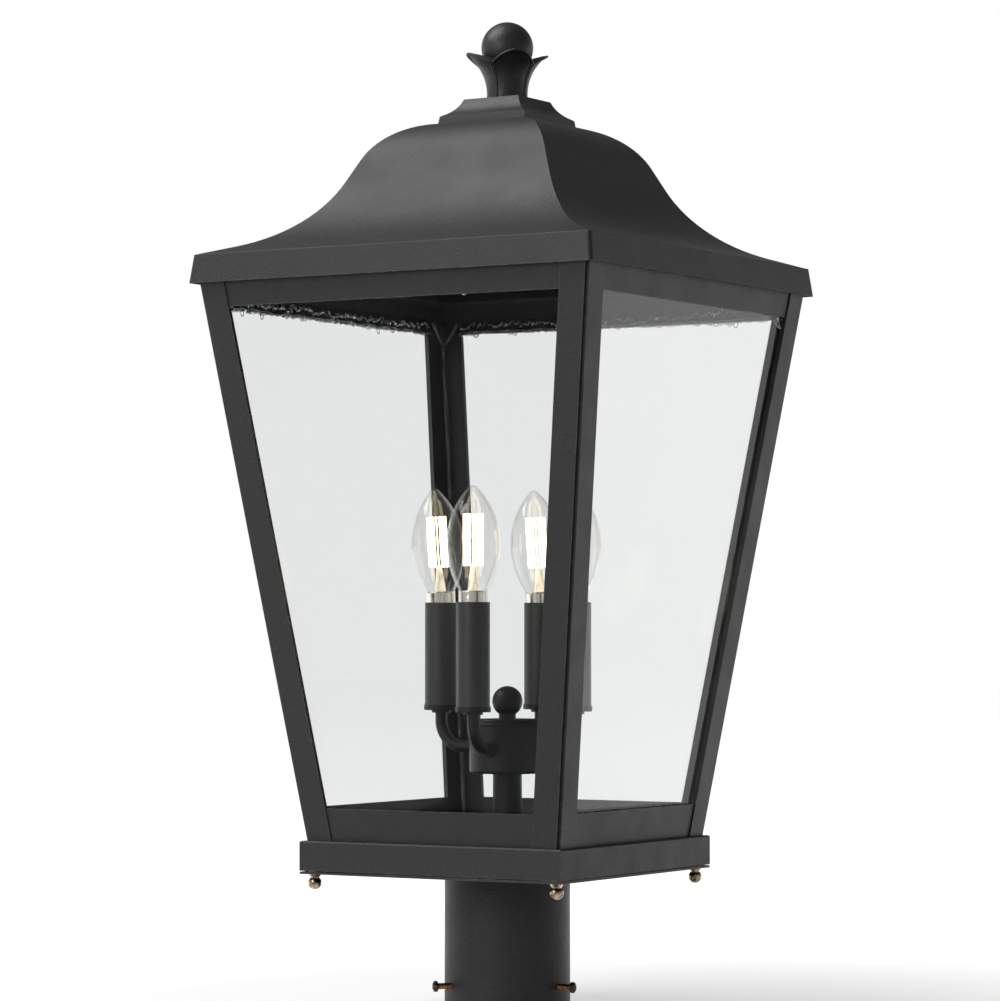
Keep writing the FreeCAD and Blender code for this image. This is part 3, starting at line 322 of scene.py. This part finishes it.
def rubbery(name, dark, light, roughness, grain):
    """Cured bead or moulded plastic: soft sheen, fine dimples."""
    look = Look(name)
    shader = look.principled(Specular_IOR_Level=0.35)
    body = look.mix(look.ramp(look.noise(70.0, 4.0), 0.35, 0.65), dark, light)
    look.link(look.mix(look.edges(0.0004), body, tuple(c * 1.6 for c in light)),
              shader.inputs["Base Color"])
    look.link(look.ramp(look.noise(160.0, 3.0), 0.3, 0.7, roughness - 0.08, roughness + 0.1),
              shader.inputs["Roughness"])
    look.link(look.bump([(look.noise(900.0, 3.0), grain, 0.0002)]), shader.inputs["Normal"])
    return look.material


def threaded(name, colour, tarnish, roughness, direction, pitch, depth, low=None, high=None,
             beyond=None):
    """Metal with rolled thread ridges across a direction. Past low..high along that direction
    the ridges stop, and the colour changes to beyond."""
    look = Look(name)
    shader = look.principled(Metallic=1.0)
    patch = look.ramp(look.noise(260.0, 5.0, 0.65), 0.38, 0.64, 0.0, 0.9)
    body = look.mix(patch, colour, tarnish)
    look.link(look.ramp(look.noise(400.0, 3.0), 0.3, 0.7, roughness * 0.7, roughness * 1.5),
              shader.inputs["Roughness"])
    along = look.add("ShaderNodeVectorMath", operation="DOT_PRODUCT")
    look.link(look.coords, along.inputs[0])
    along.inputs[1].default_value = direction
    turns = look.math("PINGPONG", look.math("MULTIPLY", along.outputs["Value"], 2.0 / pitch), 1.0)
    if low is not None:
        past = look.ramp(along.outputs["Value"], low, high)
        turns = look.math("MULTIPLY", turns, look.math("SUBTRACT", 1.0, past))
        body = look.mix(past, body, beyond)
    look.link(body, shader.inputs["Base Color"])
    look.link(look.bump([(turns, 0.8, depth), (look.noise(2600.0, 2.0), 0.2, 0.00008)]),
              shader.inputs["Normal"])
    return look.material


def grey(value):
    return (value, value, value)


# Edge colour of the coat: bronze rub of wear, and also a painted highlight along its edges
EDGE_WEAR_AND_HIGHLIGHT = (0.130, 0.100, 0.085)
PANE_TINT = (0.940, 0.947, 0.944)
UPRIGHT = (0, 0, 1)
BULB_PITCH = 0.00254
SCREW_PITCH = 0.0007

# Levels at which the finish of a bulb changes
THREAD_END = metres(foot_of("bulb_base_front") + 0.0200)
COLLAR_START = metres(foot_of("bulb_base_front") + 0.0205)
STRIP_FOOT = metres(foot_of("bulb_filament_front") + 0.0160)

# The set screws stand 120 degrees apart; past SCREW_NECK from the post's axis they are plain
FIRST_SCREW_HEADING = -3.7
SCREW_HEADINGS = {"set_screw_%d" % (index + 1): FIRST_SCREW_HEADING + 120.0 * index
                  for index in range(3)}
SCREW_NECK = 0.0509
SCREW_PLAIN = SCREW_NECK + 0.0004

coat = coated("powder_coat", (0.0158, 0.0152, 0.0152), (0.0198, 0.0192, 0.0188),
              roughness=0.52, grain=0.35, edge_wear_and_highlight=EDGE_WEAR_AND_HIGHLIGHT, specular=0.42, edge=0.0013)
# Painted light: the fitter's black coat is the same as the rest, copied here with a lighter base
# colour that stands in for light falling on it
fitter_painted_lighter_coat = coated("fitter_painted_lighter_coat", (0.0280, 0.0268, 0.0262), (0.0340, 0.0325, 0.0320),
                     roughness=0.50, grain=0.45, edge_wear_and_highlight=EDGE_WEAR_AND_HIGHLIGHT, specular=0.30, edge=0.0013)
cast = coated("cast_coat", (0.0175, 0.0170, 0.0170), (0.0245, 0.0240, 0.0240),
              roughness=0.42, grain=0.30, edge_wear_and_highlight=(0.070, 0.064, 0.060), specular=0.36, edge=0.0006)
satin = coated("satin_enamel", grey(0.010), grey(0.015),
               roughness=0.44, grain=0.15, edge_wear_and_highlight=grey(0.045), specular=0.30, edge=0.0004)
sleeve_black = coated("sleeve_black", grey(0.028), grey(0.040),
                      roughness=0.42, grain=0.30, edge_wear_and_highlight=grey(0.06), specular=0.42, edge=0.0004)
phenolic = rubbery("phenolic", (0.030, 0.026, 0.022), (0.045, 0.040, 0.034),
                   roughness=0.45, grain=0.2)
zinc = metal("zinc_plate", (0.56, 0.54, 0.50), (0.30, 0.29, 0.26), roughness=0.34)
nickel = threaded("nickel_plate", (0.80, 0.77, 0.71), (0.62, 0.57, 0.49), roughness=0.16,
                  direction=UPRIGHT, pitch=BULB_PITCH, depth=0.0002,
                  low=THREAD_END, high=COLLAR_START, beyond=(0.82, 0.78, 0.70))
nickel_plain = metal("nickel_ring", (0.82, 0.79, 0.73), (0.60, 0.56, 0.48),
                     roughness=0.14, grain=0.10, tarnished=0.3)
shell_brass = threaded("shell_brass", (0.78, 0.58, 0.30), (0.40, 0.27, 0.12), roughness=0.22,
                       direction=UPRIGHT, pitch=BULB_PITCH, depth=0.0003)
brass = metal("antique_brass", (0.60, 0.47, 0.32), (0.020, 0.016, 0.013),
              roughness=0.13, grain=0.7, tarnished=0.98)
pane_glass = clear("pane_glass", PANE_TINT, mirrored=0.16)
hazy_pane = clear("pane_glass_hazy", PANE_TINT, haze=0.04, waves=0.015, mirrored=0.58)
bulb_glass = clear("bulb_glass", (0.982, 0.981, 0.978), haze=0.01, waves=0.04,
                   wave_scale=60.0, wave_depth=0.0004, smears=0.03)
silicone = clear("clear_silicone", (0.66, 0.67, 0.67), haze=0.04, waves=1.0,
                 wave_scale=210.0, wave_depth=0.003, smears=0.10, mirrored=2.2)
strips = glowing("lit_strips", (1.0, 0.85, 0.62), strength=4.5, foot=STRIP_FOOT)

slot_looks = {
    "black_powder_coat": coat, "black_cast": cast, "satin_black": satin,
    "black_sleeve": sleeve_black, "socket_plastic": phenolic, "plated_steel": zinc,
    "pane_glass": pane_glass, "bulb_glass": bulb_glass, "plated_collar": nickel,
    "lit_strips": strips, "polished_brass": brass,
}
node_looks = {"glass_pane_right": hazy_pane, "post_fitter": fitter_painted_lighter_coat}


def screw_look(name):
    """Copper-coloured thread across the screw's own heading, dark head."""
    angle = math.radians(SCREW_HEADINGS[name])
    return threaded("thread_" + name, (0.50, 0.26, 0.09), (0.12, 0.06, 0.03), roughness=0.26,
                    direction=(math.cos(angle), math.sin(angle), 0), pitch=SCREW_PITCH,
                    depth=0.00025, low=SCREW_NECK, high=SCREW_PLAIN,
                    beyond=(0.045, 0.036, 0.030))


for part in frame["record"]["subparts"]:
    name = part["node"]
    mesh = nodes[name].data
    mesh.materials.clear()
    if name in SCREW_HEADINGS:
        mesh.materials.append(screw_look(name))
    else:
        mesh.materials.append(node_looks.get(name, slot_looks[part["material_slot"]]))


# ---------------------------------------------------------------- added pieces

def shape(name, look, body, slot):
    """Empty mesh piece with its finish; the caller fills the mesh, then calls settle()."""
    mesh = bpy.data.meshes.new(name)
    piece = bpy.data.objects.new(name, mesh)
    bpy.context.scene.collection.objects.link(piece)
    mesh.materials.append(look)
    return piece, body, slot


def settle(made, bm, smooth=True):
    """Close a piece: fill its mesh from bm and tie it to its body."""
    piece, body, slot = made
    bmesh.ops.recalc_face_normals(bm, faces=bm.faces)
    for face in bm.faces:
        face.smooth = smooth
    bm.to_mesh(piece.data)
    bm.free()
    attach(piece, body)


def swept(bm, points, radii, sides):
    """Round bar along points, with a radius at each point and flat ends."""
    rings = []
    up = Vector((0.3, 0.2, 0.93)).normalized()
    for index, centre in enumerate(points):
        before = points[max(index - 1, 0)]
        after = points[min(index + 1, len(points) - 1)]
        ahead = (after - before).normalized()
        side = up.cross(ahead)
        if side.length < 0.05:
            side = Vector((1, 0, 0)).cross(ahead)
        side.normalize()
        up = ahead.cross(side).normalized()
        ring = []
        for step in range(sides):
            turn = 2 * math.pi * step / sides
            out = side * math.cos(turn) + up * math.sin(turn)
            ring.append(bm.verts.new(centre + out * radii[index]))
        rings.append(ring)
    for low, high in zip(rings, rings[1:]):
        for step in range(sides):
            after = (step + 1) % sides
            bm.faces.new((low[step], low[after], high[after], high[step]))
    bm.faces.new(reversed(rings[0]))
    bm.faces.new(rings[-1])


def round_section(radius, level, thick, steps=10):
    """Section of a round ring for lathed(), as (radius, height) points."""
    angles = [2 * math.pi * step / steps for step in range(steps)]
    return [(radius + thick * math.cos(a), level + thick * math.sin(a)) for a in angles]


def lathed(bm, section, matrix, sides=48):
    """Closed section (radius, height) turned about the matrix's own upright axis."""
    rings = []
    for step in range(sides):
        turn = 2 * math.pi * step / sides
        rings.append([bm.verts.new(matrix @ Vector((r * math.cos(turn), r * math.sin(turn), z)))
                      for r, z in section])
    for low, high in zip(rings, rings[1:] + rings[:1]):
        for index in range(len(section)):
            after = (index + 1) % len(section)
            bm.faces.new((low[index], low[after], high[after], high[index]))


# The calyx's surface: a straight neck, then a flare; its slits open outwards, and each petal
# ends in an arch that falls by ARCH_DROP over half its width
CALYX_NECK, NECK_HEIGHT, FLARE_BEND = 0.0135, 0.004, 0.0324
CALYX_RISE = 0.0306
SLIT_ROOT, SLIT_END, SLIT_HALF = 0.0125, 0.0300, 0.0012
PETAL_HALF, ARCH_DROP = 0.0160, 0.0130
ARCH_RADIUS = (PETAL_HALF ** 2 + ARCH_DROP ** 2) / (2 * ARCH_DROP)

# The rims: first level and spacing of their points, distance from the petal's edge and how far
# they stand out; thin at the foot, thicker by RIM_SWELL from SWELL_HEIGHT up
RIM_START, RIM_SPACING, ARCH_STEPS = 0.0012, 0.0006, 18
RIM_INSET, RIM_SHOULDER, RIM_PROUD = 0.0004, 0.0006, 0.0001
RIM_THIN, RIM_SWELL, SWELL_HEIGHT = 0.00055, 0.0003, 0.02


def calyx_radius(level):
    return (CALYX_NECK + FLARE_BEND
            - math.sqrt(FLARE_BEND ** 2 - max(level - NECK_HEIGHT, 0.0) ** 2))


def arch_level(across):
    return CALYX_RISE - ARCH_RADIUS + math.sqrt(ARCH_RADIUS ** 2 - across ** 2)


def petal_route():
    """(angle from the petal's middle, level) up one seam, over the arched tip and down."""
    side = []
    level = RIM_START
    while True:
        reach = calyx_radius(level)
        gap = SLIT_HALF * (reach - SLIT_ROOT) / (SLIT_END - SLIT_ROOT) + RIM_INSET
        angle = math.pi / 4 - math.asin(gap / reach)
        across = min(reach * math.sin(angle), PETAL_HALF - RIM_SHOULDER)
        if level >= arch_level(across):
            break
        side.append((angle, level))
        level += RIM_SPACING
    over = []
    for step in range(-ARCH_STEPS, ARCH_STEPS + 1):
        across_now = across * step / ARCH_STEPS
        top = arch_level(across_now) - RIM_INSET
        over.append((-math.asin(across_now / calyx_radius(top)), top))
    return side + over[1:-1] + [(-angle, level) for angle, level in reversed(side)]


def petal_rims():
    """Raised rim round each petal of the calyx."""
    for index in range(4):
        made = shape("petal_rim_%d" % (index + 1), cast, "cage", "black_cast")
        points = []
        radii = []
        for angle, level in petal_route():
            heading = math.pi / 4 + QUARTER * index + angle
            reach = calyx_radius(level) + RIM_PROUD
            points.append(Vector((reach * math.cos(heading), reach * math.sin(heading),
                                  CALYX_FOOT + level)))
            radii.append(RIM_THIN + RIM_SWELL * min(1.0, level / SWELL_HEIGHT))
        bm = bmesh.new()
        swept(bm, points, radii, 8)
        settle(made, bm)


# Silicone on the inner faces of the panes: how far inside the posts' outer faces it lies, and
# how far it stays from the frame's corners
BEAD_INSET, SMEAR_INSET, CORNER_INSET = 0.0066, 0.0064, 0.0072
BEAD_END, SMEAR_END, DRIP_END = 0.021, 0.0215, 0.022


def frame_half(level):
    """Half the width of the leaning frame at a height in the part's frame."""
    return FOOT_HALF + LEAN * (level - POST_FOOT)


def drifted(dice, value, low, high, pace):
    """A wandering value's next one: part of the way towards a random value."""
    return value + (dice.uniform(low, high) - value) * pace


def top_bead(bm, dice, turn, shown):
    """Uneven bead under a top rail with drips below it. On the back and left, where it is
    shown, it hangs lower and is fuller than behind the front and right rails."""
    level = metres(RAIL_FOOT + (0.0005 if shown else 0.0039))
    fullest = 0.0024 if shown else 0.0014
    lowest = -0.0016 if shown else -0.0006
    drips = 8 if shown else 3
    half = frame_half(level)
    steps = 150
    size, sag = 0.0011, 0.0
    points = []
    radii = []
    for step in range(steps + 1):
        across = (half - BEAD_END) * (2 * step / steps - 1)
        size = drifted(dice, size, 0.0006, fullest, 0.35)
        sag = drifted(dice, sag, lowest, 0.0006, 0.35)
        points.append(turn @ Vector((across, -half + BEAD_INSET, level + sag)))
        radii.append(size)
    swept(bm, points, radii, 8)
    for _ in range(drips):
        drip(bm, dice, turn, half, level - 0.0006)


def drip(bm, dice, turn, half, level):
    """Thin loop that hangs from the bead at a random place."""
    wide, thick, steps = 0.0018, 0.0004, 8
    across = dice.choice((-1, 1)) * dice.uniform(0.25, 0.92) * (half - DRIP_END)
    fall = dice.uniform(0.0015, 0.0045)
    loop = []
    for step in range(steps + 1):
        angle = math.pi * step / steps
        loop.append(turn @ Vector((across + wide * math.cos(angle), -half + BEAD_INSET,
                                   level - fall * math.sin(angle))))
    swept(bm, loop, [thick] * len(loop), 6)


def smeared_bead(bm, dice, turn):
    """Bead pressed up over the pane's top edge: a wavering strand on its inner face."""
    lowest, highest = metres(RAIL_FOOT + 0.0017), metres(RAIL_FOOT + 0.0091)
    level, thick = metres(RAIL_FOOT + 0.0047), 0.0007
    reach = frame_half(metres(RAIL_FOOT + 0.0007)) - SMEAR_END
    steps = 260
    points = []
    radii = []
    for step in range(steps + 1):
        across = reach * (2 * step / steps - 1)
        level = drifted(dice, level, lowest, highest, 0.55)
        thick = drifted(dice, thick, 0.0003, 0.0012, 0.5)
        points.append(turn @ Vector((across, -frame_half(level) + SMEAR_INSET, level)))
        radii.append(thick)
    swept(bm, points, radii, 6)


def corner_bead(bm, dice, turn):
    """Thin uneven bead down a corner where two panes meet, with a lump at its top."""
    low, high = metres(POST_FOOT + 0.0018), metres(GLASS_TOP - 0.0011)
    steps, lump_steps, lump_growth = 110, 7, 0.0006
    size, shift = 0.0015, 0.0
    points = []
    radii = []
    for step in range(steps + 1):
        level = low + (high - low) * step / steps
        half = frame_half(level) - CORNER_INSET
        size = drifted(dice, size, 0.0009, 0.0022, 0.3)
        if step > steps - lump_steps:
            size += lump_growth
        shift = drifted(dice, shift, -0.0006, 0.0006, 0.4)
        points.append(turn @ Vector((-half + shift, -half - shift, level)))
        radii.append(size)
    swept(bm, points, radii, 8)


def corner_strands(bm, turn):
    """Strands that run from the top rail down into the corner, one on each of its panes."""
    top = metres(GLASS_TOP - 0.0018)
    reach, fall, off, thick, steps = 0.013, 0.0145, 0.0006, 0.0013, 8
    for swap in (False, True):
        strand = []
        for step in range(steps + 1):
            level = top - fall * math.sin(QUARTER * step / steps)
            inside = frame_half(level) - CORNER_INSET
            along, beside = -inside + reach * (1 - step / steps), -inside + off
            x, y = (along, beside) if swap else (beside, along)
            strand.append(turn @ Vector((x, y, level)))
        swept(bm, strand, [thick] * len(strand), 8)


def glazing():
    """Clear silicone inside the frame: a bead on each side and one down each corner."""
    dice = random.Random(11)
    for index in range(4):
        turn = Matrix.Rotation(QUARTER * index, 4, "Z")
        shown = SIDES[index] in ("back", "left")
        made = shape("glazing_top_" + SIDES[index], silicone, "cage", "pane_glass")
        bm = bmesh.new()
        top_bead(bm, dice, turn, shown)
        if shown:
            smeared_bead(bm, dice, turn)
        settle(made, bm)

        made = shape("glazing_corner_" + CORNERS[index], silicone, "cage", "pane_glass")
        bm = bmesh.new()
        corner_bead(bm, dice, turn)
        corner_strands(bm, turn)
        settle(made, bm)


# Two of the bulbs lean, about a hinge a quarter turn from the way they lean
TILTED_LAMPS = ("back", "left")
LAMP_TILT = math.radians(3.5)
TILT_HEADING = 211.3

# Heights count from the mouth of a sleeve; the socket's end lies below it, the bulb over that
SOCKET_DEPTH, BULB_GAP = 0.005, 0.0003
RINGS = ((0.0118, 0.00945, 0.00045), (0.0040, 0.0095, 0.0003))
SHELL_BORE, SHELL_RADIUS, SHELL_LIP = 0.00610, 0.00622, 0.0068
SLEEVE_RIM = metres(SLEEVE_RADIUS - 0.00037)


def lamp_matrix(index, tilted=True):
    """Upright axis of a lamp with its origin at the centre of its sleeve's mouth."""
    angle = LAMP_TURN - QUARTER + QUARTER * index
    place = Matrix.Translation((LAMP_CIRCLE * math.cos(angle), LAMP_CIRCLE * math.sin(angle),
                                SLEEVE_TOP))
    if not tilted or SIDES[index] not in TILTED_LAMPS:
        return place
    hinge = math.radians(TILT_HEADING + 90)
    axis = Vector((math.cos(hinge), math.sin(hinge), 0))
    return place @ Matrix.Rotation(LAMP_TILT, 4, axis)


def lamp_details():
    """Rolled rings on the bulbs' collars, threaded shells in the sockets, rims on the sleeves."""
    foot = BULB_GAP - SOCKET_DEPTH
    for index, side in enumerate(SIDES):
        matrix = lamp_matrix(index)
        made = shape("collar_rings_" + side, nickel_plain, "bulb_" + side, "plated_collar")
        bm = bmesh.new()
        for level, radius, thick in RINGS:
            lathed(bm, round_section(radius, foot + level, thick), matrix)
        settle(made, bm)

        made = shape("socket_shell_" + side, shell_brass, "base", "socket_plastic")
        bm = bmesh.new()
        lathed(bm, [(SHELL_BORE, -0.0265), (SHELL_RADIUS, -0.0265), (SHELL_RADIUS, -0.0052),
                    (SHELL_LIP, -0.0048), (SHELL_LIP, -0.0046), (SHELL_BORE, -0.0050)], matrix)
        settle(made, bm, smooth=False)

        made = shape("sleeve_rim_" + side, sleeve_black, "base", "black_sleeve")
        bm = bmesh.new()
        lathed(bm, round_section(SLEEVE_RIM, 0.00005, 0.00042), lamp_matrix(index, tilted=False))
        settle(made, bm)


petal_rims()
glazing()
lamp_details()


# ---------------------------------------------------------------- stage, light and camera

FLOOR_HALF, FLOOR_GAP = 12.0, 0.0005
FLOOR_COLOUR = (0.40, 0.40, 0.40, 1.0)
WHITE = (1.0, 1.0, 1.0, 1.0)
WORLD_LIGHT = 0.21

# Strength with which metal and glass mirror the backdrop, on the camera's side and behind the
# part. Direct rays see white as 1; behind the part the mirrored strength goes beyond that.
MIRROR_REACH = 0.6
FLOOR_MIRRORED = (0.15, 1.8)
WORLD_MIRRORED = (0.6, 1.05)


def plain_floor():
    """White floor that keeps the part's shadow; its glow is only for camera, glass and mirrors."""
    half = FLOOR_HALF
    grid = bpy.data.meshes.new("floor")
    grid.from_pydata([(-half, -half, 0), (half, -half, 0), (half, half, 0), (-half, half, 0)], [],
                     [(0, 1, 2, 3)])
    floor = bpy.data.objects.new("floor", grid)
    bpy.context.scene.collection.objects.link(floor)
    floor.location.z = -FLOOR_GAP
    look = Look("floor_white")
    shader = look.principled(Base_Color=FLOOR_COLOUR, Specular_IOR_Level=0.0)
    look.link(look.ramp(look.noise(3.0, 3.0), 0.3, 0.7, 0.75, 0.85), shader.inputs["Roughness"])
    shader.inputs["Emission Color"].default_value = WHITE
    away = look.add("ShaderNodeVectorMath", operation="LENGTH")
    look.link(look.coords, away.inputs[0])
    far = away.outputs["Value"]
    under, clear_floor, dip, horizon = 0.25, 0.9, 1.6, 5.0
    glow = look.ramp(far, under, clear_floor, 0.60, 1.00)
    glow = look.math("SUBTRACT", glow, look.ramp(far, clear_floor, dip, 0.0, 0.18))
    glow = look.math("ADD", glow, look.ramp(far, dip, horizon, 0.0, 0.09))
    direct, glossy = look.seen()
    mirrored = look.math("MULTIPLY", glossy,
                         look.behind(-MIRROR_REACH, MIRROR_REACH, *FLOOR_MIRRORED))
    shown = look.math("MAXIMUM", direct, mirrored)
    look.link(look.math("MULTIPLY", shown, glow), shader.inputs["Emission Strength"])
    grid.materials.append(look.material)


def white_world():
    """Even soft light; mirrors see the white backdrop duller overhead and on the camera's side."""
    world = bpy.data.worlds.new("studio_white")
    world.use_nodes = True
    sky = Nodes(world.node_tree, "Generated")
    direct, glossy = sky.seen()
    backdrop = sky.math("MULTIPLY", sky.behind(-MIRROR_REACH, MIRROR_REACH, *WORLD_MIRRORED),
                        sky.height(0.06, 0.42, 1.0, 0.14))
    mirrored = sky.math("MULTIPLY", glossy, backdrop)
    shown = sky.math("MAXIMUM", direct, glossy)
    level = sky.add("ShaderNodeMix", data_type="FLOAT")
    sky.link(shown, level.inputs[0])
    level.inputs[2].default_value = WORLD_LIGHT
    sky.link(sky.math("MAXIMUM", direct, mirrored), level.inputs[3])
    back = sky.add("ShaderNodeBackground")
    sky.link(level.outputs[0], back.inputs["Strength"])
    out = sky.add("ShaderNodeOutputWorld")
    sky.link(back.outputs["Background"], out.inputs["Surface"])
    back.inputs["Color"].default_value = WHITE
    bpy.context.scene.world = world


def soft_lamp(name, place, target, width, height, power):
    light = bpy.data.lights.new(name, "AREA")
    light.shape = "RECTANGLE"
    light.size = width
    light.size_y = height
    light.energy = power
    lamp = bpy.data.objects.new(name, light)
    bpy.context.scene.collection.objects.link(lamp)
    lamp.location = place
    lamp.rotation_euler = (Vector(target) - Vector(place)).to_track_quat("-Z", "Y").to_euler()


def photo_camera():
    """Camera solved from the photograph: right of the front pane, low, looking slightly up."""
    right = Vector((math.cos(CAMERA_TURN), math.sin(CAMERA_TURN), 0))
    ahead = Vector((-math.sin(CAMERA_TURN), math.cos(CAMERA_TURN), 0))
    camera = bpy.data.cameras.new("camera")
    camera.sensor_width = SENSOR_WIDTH
    camera.lens = CAMERA_LENS
    camera.clip_end = 60.0
    holder = bpy.data.objects.new("camera", camera)
    bpy.context.scene.collection.objects.link(holder)
    holder.location = (ahead * -CAMERA_DISTANCE + right * CAMERA_ASIDE
                       + Vector((0, 0, CAMERA_HEIGHT)))
    aim = ahead * math.cos(CAMERA_PITCH) + Vector((0, 0, math.sin(CAMERA_PITCH)))
    holder.rotation_euler = aim.to_track_quat("-Z", "Y").to_euler()
    bpy.context.scene.camera = holder


plain_floor()
white_world()
soft_lamp("key", place=(-1.5, -1.0, 2.9), target=(0, 0, 0.5), width=2.4, height=2.4, power=100.0)
soft_lamp("fill", place=(-0.6, -3.1, 1.2), target=(0, 0, 0.4), width=1.0, height=1.4, power=28.0)
photo_camera()

view = bpy.context.scene.view_settings
view.view_transform = "Standard"
